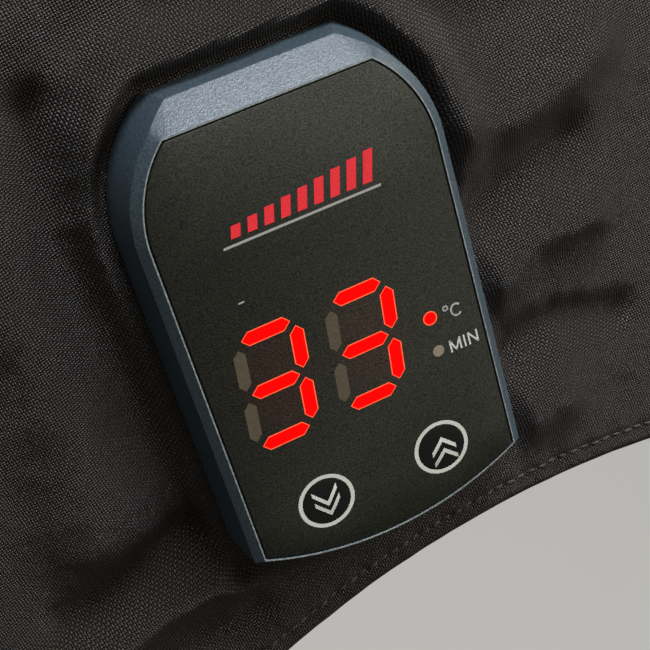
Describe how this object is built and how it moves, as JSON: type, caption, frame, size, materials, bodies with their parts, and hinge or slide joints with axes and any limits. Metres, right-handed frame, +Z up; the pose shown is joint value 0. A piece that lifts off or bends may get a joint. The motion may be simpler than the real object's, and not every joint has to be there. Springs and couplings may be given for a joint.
{
  "type": "motorcycle tyre warmer",
  "caption": "Ring-shaped heated cloth wrap for a motorcycle tyre, with gathered side flaps and a digital temperature controller on one flap.",
  "frame": {"origin": "centre of the ring's underside, on the floor that it lies on", "axes": "+Z up along the ring's axis; +Y from the ring's centre towards the controller; +X to the right of the controller's front"},
  "size_m": [0.6984, 0.6984, 0.2311],
  "materials": {
    "cover_cloth": "dark plain-woven polyester",
    "insulation_felt": "pressed needle felt",
    "heating_rubber": "fine-ribbed silicone rubber",
    "lining_cloth": "heat-resistant woven lining",
    "elastic_web": "ribbed woven elastic",
    "tape_web": "woven nylon tape",
    "black_rubber": "matte moulded rubber",
    "black_plastic": "moulded nylon",
    "sensor_brass": "satin",
    "housing_plastic": "fine sand-textured slate blue-grey",
    "front_film": "velvet-textured polyester film",
    "screw_steel": "zinc-plated",
    "board_laminate": "green solder mask",
    "lit_plastic": "lit red diffuser",
    "clear_plastic": "milky polycarbonate",
    "terminal_plastic": "green nylon"
  },
  "bodies": {
    "warmer": {"tread_cover": "cover_cloth", "upper_side_flap": "cover_cloth", "lower_side_flap": "cover_cloth", "closing_strap": "cover_cloth", "insulation_layer": "insulation_felt", "heating_mat": "heating_rubber", "inner_lining": "lining_cloth", "upper_hem_elastic": "elastic_web", "lower_hem_elastic": "elastic_web", "hook_pad": "tape_web", "loop_pad": "tape_web", "lead_tape": "tape_web", "mains_gland": "black_rubber", "gland_nut": "black_plastic", "supply_lead": "black_rubber", "heater_lead": "black_rubber", "sensor_lead": "black_rubber", "temperature_sensor": "sensor_brass", "controller_housing": "housing_plastic", "front_overlay": "front_film", "base_plate": "black_plastic", "backing_plate": "black_plastic", "fixing_screw_1": "screw_steel", "fixing_screw_2": "screw_steel", "fixing_screw_3": "screw_steel", "fixing_screw_4": "screw_steel", "circuit_board": "board_laminate", "segment_light_guide": "lit_plastic", "display_reflector": "black_plastic", "degree_lamp": "lit_plastic", "minute_lamp": "clear_plastic", "down_key_switch": "black_plastic", "up_key_switch": "black_plastic", "control_chip": "black_plastic", "power_triac": "black_plastic", "supply_capacitor": "screw_steel", "terminal_block": "terminal_plastic"},
    "down_key": {"down_key_plunger": "clear_plastic"},
    "up_key": {"up_key_plunger": "clear_plastic"}
  },
  "joints": [
    {"name": "down_key_press", "type": "slide", "parent": "warmer", "child": "down_key", "axis": [0, 0.0785, -0.9969], "range_m": [0, 0.00025], "stiffness_N_per_m": 100, "springref_m": -0.00005},
    {"name": "up_key_press", "type": "slide", "parent": "warmer", "child": "up_key", "axis": [0, 0.0785, -0.9969], "range_m": [0, 0.00025], "stiffness_N_per_m": 100, "springref_m": -0.00005}
  ]
}
